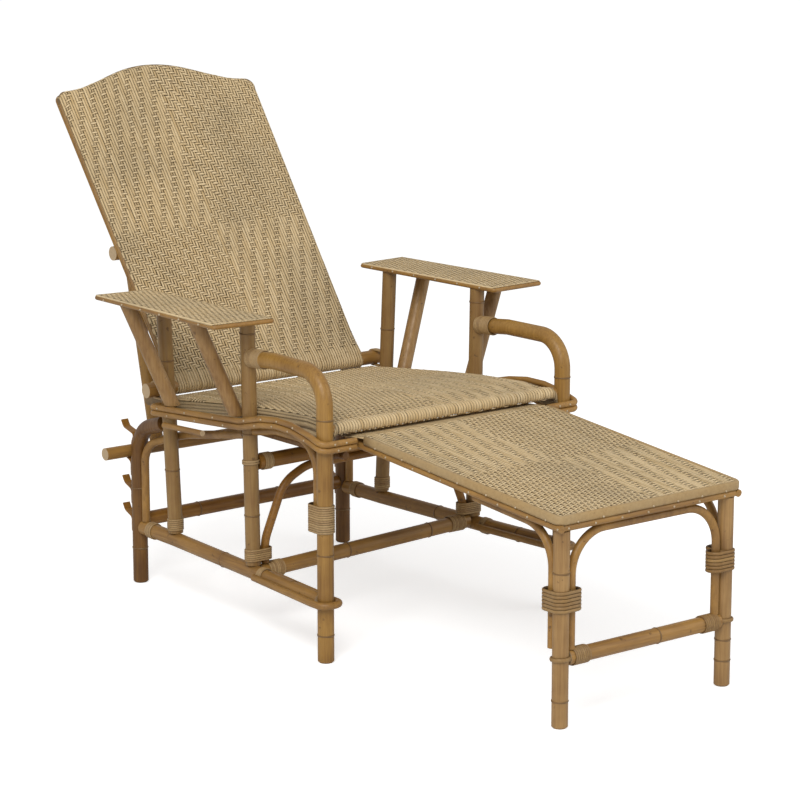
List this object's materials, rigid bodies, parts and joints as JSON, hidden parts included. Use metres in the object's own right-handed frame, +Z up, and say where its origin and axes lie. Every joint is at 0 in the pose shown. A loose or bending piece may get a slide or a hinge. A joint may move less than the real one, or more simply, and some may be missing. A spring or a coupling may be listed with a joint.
{
  "type": "rattan chaise longue",
  "caption": "Reclining rattan armchair with a sliding footrest; a hinged woven back is held by a swinging prop bar in hooks on the rear legs.",
  "frame": {"origin": "on the floor, under the middle of the whole chaise as shown, with the footrest out", "axes": "X across the chaise, -Y towards the footrest, +Y towards the back, Z up"},
  "size_m": [0.8244, 1.6451, 1.0476],
  "materials": {
    "pole": "varnished golden-brown rattan pole with node rings",
    "pole_dark": "darker brown shaded rattan pole",
    "weave": "pale woven flat cane, worn satin",
    "wrap": "wound split cane, satin",
    "hook": "bent split rattan strip, nailed"
  },
  "bodies": {
    "frame": {"armrest_board_left": "weave", "armrest_board_right": "weave", "armrest_rim_left": "pole", "armrest_rim_right": "pole", "cross_arch": "pole_dark", "footrest_runners": "pole_dark", "frame_wraps": "wrap", "front_arm_post_left": "pole", "front_arm_post_right": "pole", "front_arm_strut_left": "pole", "front_arm_strut_right": "pole", "front_braces": "pole", "front_cross_stretcher": "pole", "front_leg_arm_left": "pole", "front_leg_arm_right": "pole", "front_stretcher_loops": "pole", "middle_cross_pole": "pole_dark", "pivot_loops": "wrap", "prop_hooks": "hook", "rear_arch_brace_left": "pole", "rear_arch_brace_right": "pole", "rear_arm_post_left": "pole", "rear_arm_post_right": "pole", "rear_arm_strut_left": "pole", "rear_arm_strut_right": "pole", "rear_cross_stretcher": "pole_dark", "rear_leg_left": "pole", "rear_leg_right": "pole", "seat_edge_left": "pole", "seat_edge_right": "pole", "seat_front_pole": "pole", "seat_panel": "weave", "seat_rails_left": "pole", "seat_rails_right": "pole", "seat_rear_pole": "pole_dark", "short_under_rails": "pole", "side_stretcher_left": "pole", "side_stretcher_right": "pole"},
    "back": {"back_cross_pole": "pole", "back_panel": "weave", "back_pivot_pole": "pole", "back_stile_left": "pole", "back_stile_right": "pole", "back_top_rail": "pole"},
    "prop": {"prop_bar": "pole", "prop_loops": "wrap", "prop_strut_left": "pole", "prop_strut_right": "pole"},
    "footrest": {"footrest_front_arch": "pole", "footrest_front_rail": "pole", "footrest_leg_left": "pole", "footrest_leg_right": "pole", "footrest_panel": "weave", "footrest_rail_left": "pole", "footrest_rail_right": "pole", "footrest_side_arches": "pole", "footrest_slide_pole": "pole_dark", "footrest_stretcher": "pole", "footrest_wraps": "wrap"}
  },
  "joints": [
    {"name": "back_tilt", "type": "hinge", "parent": "frame", "child": "back", "pos_m": [0, 0.3622, 0.43199], "axis": [1, 0, 0], "range_deg": [0, 36.5]},
    {"name": "prop_swing", "type": "hinge", "parent": "back", "child": "prop", "pos_m": [0, 0.58246, 0.68207], "axis": [1, 0, 0], "range_deg": [-2.4, 0]},
    {"name": "footrest_slide", "type": "slide", "parent": "frame", "child": "footrest", "axis": [0, 1, 0], "range_m": [0, 0.27]}
  ],
  "couplings": [
    {"joint": "prop_swing", "follows": "back_tilt", "ratio": -0.065}
  ]
}
